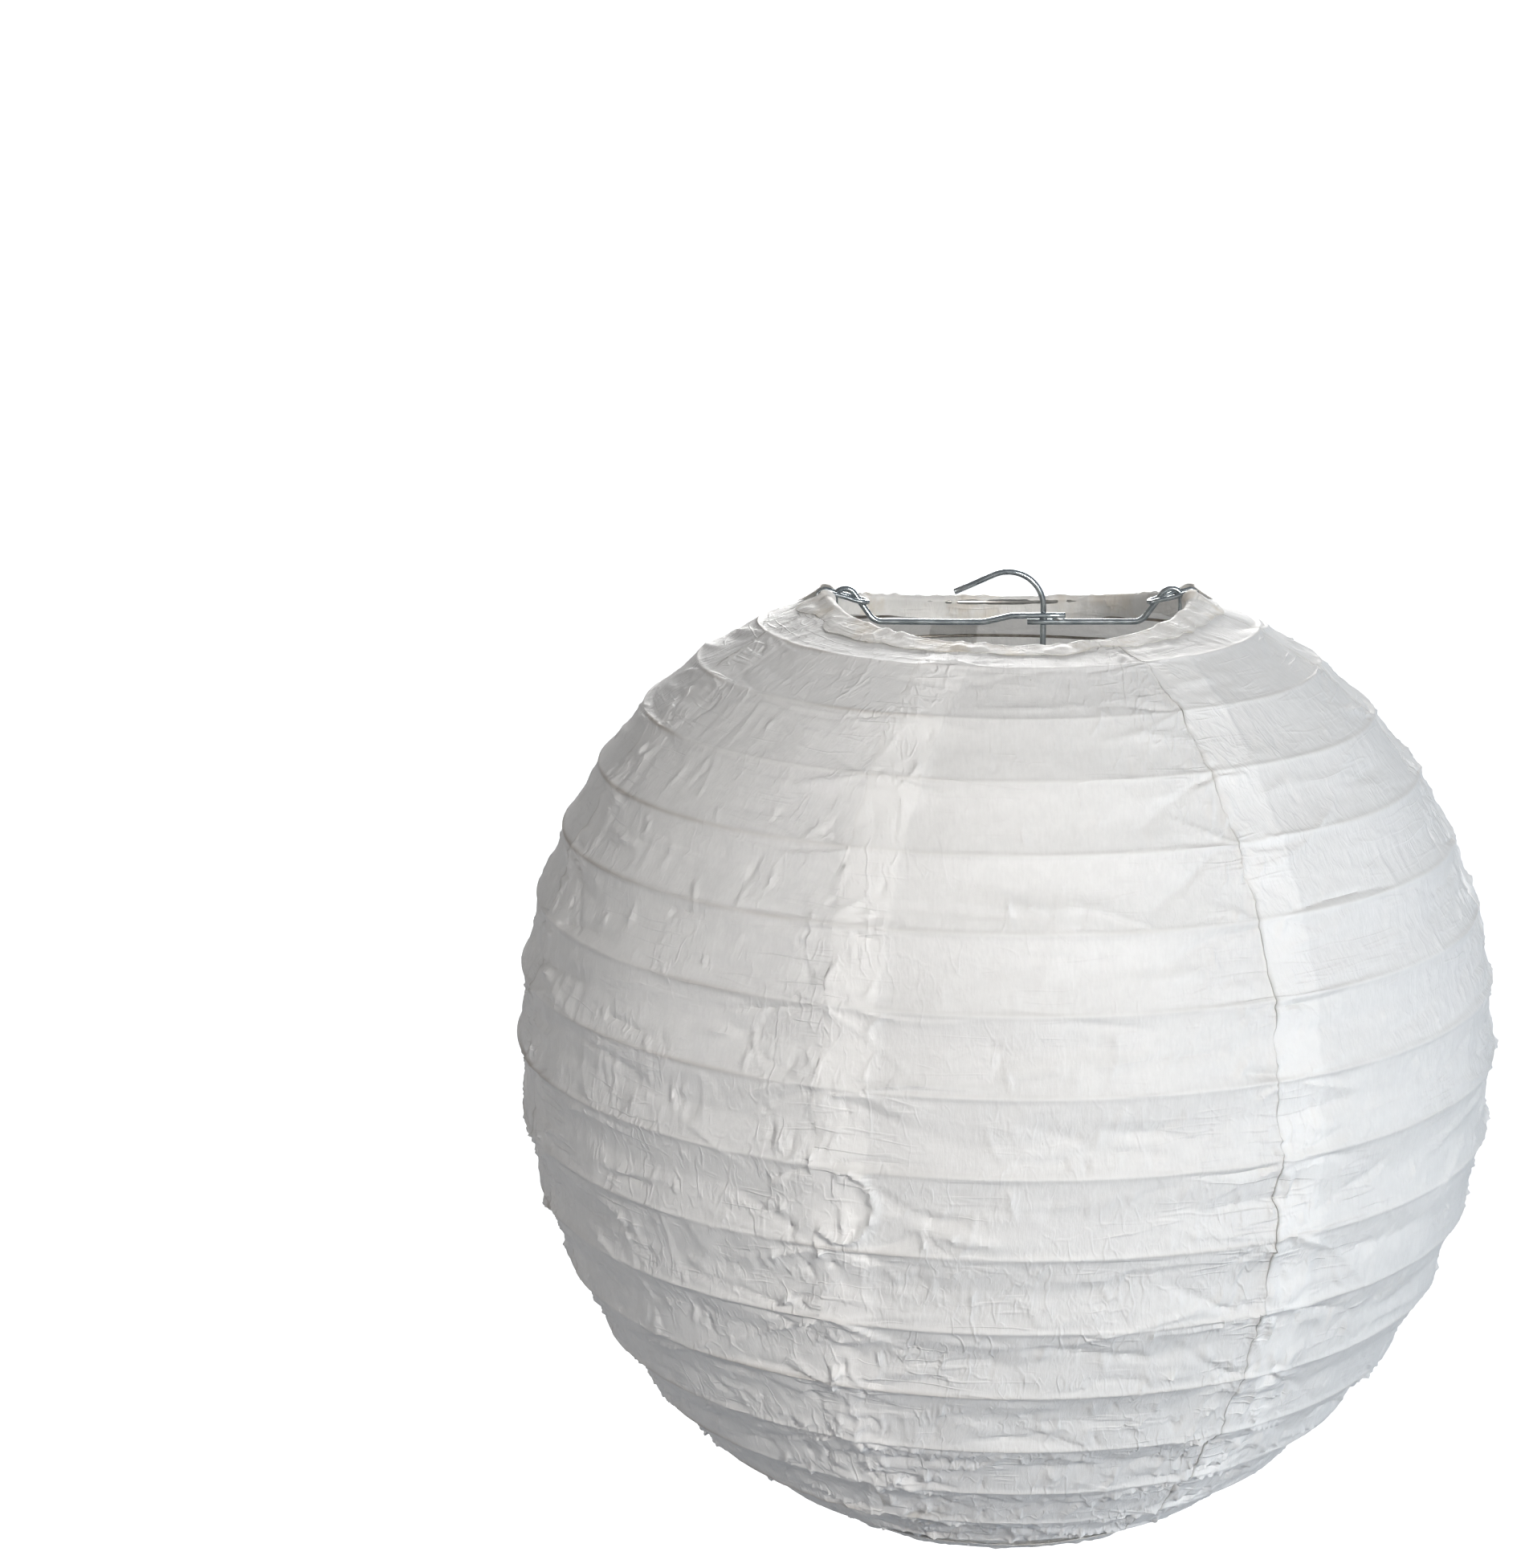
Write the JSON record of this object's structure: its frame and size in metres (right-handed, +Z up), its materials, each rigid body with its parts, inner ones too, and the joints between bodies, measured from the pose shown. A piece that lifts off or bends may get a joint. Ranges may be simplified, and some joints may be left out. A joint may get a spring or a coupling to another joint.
{
  "type": "paper lantern",
  "caption": "Ball-shaped white paper lantern on level wire hoops, held open by a removable bent-wire frame with a hanging hook.",
  "frame": {"origin": "the inside of the hanging hook's crown, where the lantern hangs", "axes": "+Z up, along the axis of the rings and hoops; +X along the wire frame's crossbar; -Y is the front"},
  "size_m": [0.25, 0.2502, 0.2431],
  "materials": {
    "zinc_wire": "bright zinc-plated wire, softly glossy",
    "ring_wire": "plain steel wire, satin",
    "rib_wire": "thin plain steel wire, satin",
    "paper": "thin white fibrous paper, matt and translucent",
    "hem_paper": "glued and folded paper hem, matt, faintly yellowed"
  },
  "bodies": {
    "frame": {"expander_frame": "zinc_wire", "hanging_hook": "zinc_wire"},
    "shade_top": {"top_ring": "ring_wire", "top_binding": "hem_paper", "paper_gore_1": "paper", "paper_gore_2": "paper", "paper_gore_3": "paper", "paper_gore_4": "paper", "paper_gore_5": "paper", "paper_gore_6": "paper", "paper_gore_7": "paper"},
    "shade_bottom": {"bottom_ring": "ring_wire", "bottom_binding": "hem_paper"},
    "eye_left": {"top_eye_left": "ring_wire"},
    "eye_right": {"top_eye_right": "ring_wire"},
    "rib_01_hoop": {"rib_01": "rib_wire"},
    "rib_02_hoop": {"rib_02": "rib_wire"},
    "rib_03_hoop": {"rib_03": "rib_wire"},
    "rib_04_hoop": {"rib_04": "rib_wire"},
    "rib_05_hoop": {"rib_05": "rib_wire"},
    "rib_06_hoop": {"rib_06": "rib_wire"},
    "rib_07_hoop": {"rib_07": "rib_wire"},
    "rib_08_hoop": {"rib_08": "rib_wire"},
    "rib_09_hoop": {"rib_09": "rib_wire"},
    "rib_10_hoop": {"rib_10": "rib_wire"},
    "rib_11_hoop": {"rib_11": "rib_wire"},
    "rib_12_hoop": {"rib_12": "rib_wire"},
    "rib_13_hoop": {"rib_13": "rib_wire"},
    "rib_14_hoop": {"rib_14": "rib_wire"},
    "rib_15_hoop": {"rib_15": "rib_wire"}
  },
  "joints": [
    {"name": "shade_release", "type": "slide", "parent": "frame", "child": "shade_top", "axis": [0, 0, -1], "range_m": [0, 0.25]},
    {"name": "collapse", "type": "slide", "parent": "shade_top", "child": "shade_bottom", "axis": [0, 0, 1], "range_m": [0, 0.2093], "deforming": ["paper_gore_1", "paper_gore_2", "paper_gore_3", "paper_gore_4", "paper_gore_5", "paper_gore_6", "paper_gore_7"]},
    {"name": "eye_swing_left", "type": "hinge", "parent": "shade_top", "child": "eye_left", "pos_m": [-0.04595, 0, -0.0056], "axis": [0, -1, 0], "range_deg": [0, 100]},
    {"name": "eye_swing_right", "type": "hinge", "parent": "shade_top", "child": "eye_right", "pos_m": [0.04595, 0, -0.0056], "axis": [0, 1, 0], "range_deg": [0, 100]},
    {"name": "rib_01_slide", "type": "slide", "parent": "shade_top", "child": "rib_01_hoop", "axis": [0, 0, 1], "range_m": [0, 0.00578]},
    {"name": "rib_02_slide", "type": "slide", "parent": "shade_top", "child": "rib_02_hoop", "axis": [0, 0, 1], "range_m": [0, 0.01387]},
    {"name": "rib_03_slide", "type": "slide", "parent": "shade_top", "child": "rib_03_hoop", "axis": [0, 0, 1], "range_m": [0, 0.02427]},
    {"name": "rib_04_slide", "type": "slide", "parent": "shade_top", "child": "rib_04_hoop", "axis": [0, 0, 1], "range_m": [0, 0.03719]},
    {"name": "rib_05_slide", "type": "slide", "parent": "shade_top", "child": "rib_05_hoop", "axis": [0, 0, 1], "range_m": [0, 0.05148]},
    {"name": "rib_06_slide", "type": "slide", "parent": "shade_top", "child": "rib_06_hoop", "axis": [0, 0, 1], "range_m": [0, 0.06683]},
    {"name": "rib_07_slide", "type": "slide", "parent": "shade_top", "child": "rib_07_hoop", "axis": [0, 0, 1], "range_m": [0, 0.0829]},
    {"name": "rib_08_slide", "type": "slide", "parent": "shade_top", "child": "rib_08_hoop", "axis": [0, 0, 1], "range_m": [0, 0.09933]},
    {"name": "rib_09_slide", "type": "slide", "parent": "shade_top", "child": "rib_09_hoop", "axis": [0, 0, 1], "range_m": [0, 0.1169]},
    {"name": "rib_10_slide", "type": "slide", "parent": "shade_top", "child": "rib_10_hoop", "axis": [0, 0, 1], "range_m": [0, 0.13408]},
    {"name": "rib_11_slide", "type": "slide", "parent": "shade_top", "child": "rib_11_hoop", "axis": [0, 0, 1], "range_m": [0, 0.15049]},
    {"name": "rib_12_slide", "type": "slide", "parent": "shade_top", "child": "rib_12_hoop", "axis": [0, 0, 1], "range_m": [0, 0.16577]},
    {"name": "rib_13_slide", "type": "slide", "parent": "shade_top", "child": "rib_13_hoop", "axis": [0, 0, 1], "range_m": [0, 0.17957]},
    {"name": "rib_14_slide", "type": "slide", "parent": "shade_top", "child": "rib_14_hoop", "axis": [0, 0, 1], "range_m": [0, 0.1916]},
    {"name": "rib_15_slide", "type": "slide", "parent": "shade_top", "child": "rib_15_hoop", "axis": [0, 0, 1], "range_m": [0, 0.20159]}
  ],
  "couplings": [
    {"joint": "rib_01_slide", "follows": "collapse", "ratio": 0.02754},
    {"joint": "rib_02_slide", "follows": "collapse", "ratio": 0.0662},
    {"joint": "rib_03_slide", "follows": "collapse", "ratio": 0.11589},
    {"joint": "rib_04_slide", "follows": "collapse", "ratio": 0.1776},
    {"joint": "rib_05_slide", "follows": "collapse", "ratio": 0.24588},
    {"joint": "rib_06_slide", "follows": "collapse", "ratio": 0.31922},
    {"joint": "rib_07_slide", "follows": "collapse", "ratio": 0.396},
    {"joint": "rib_08_slide", "follows": "collapse", "ratio": 0.47452},
    {"joint": "rib_09_slide", "follows": "collapse", "ratio": 0.55846},
    {"joint": "rib_10_slide", "follows": "collapse", "ratio": 0.64053},
    {"joint": "rib_11_slide", "follows": "collapse", "ratio": 0.71894},
    {"joint": "rib_12_slide", "follows": "collapse", "ratio": 0.79193},
    {"joint": "rib_13_slide", "follows": "collapse", "ratio": 0.8579},
    {"joint": "rib_14_slide", "follows": "collapse", "ratio": 0.91538},
    {"joint": "rib_15_slide", "follows": "collapse", "ratio": 0.9631}
  ]
}
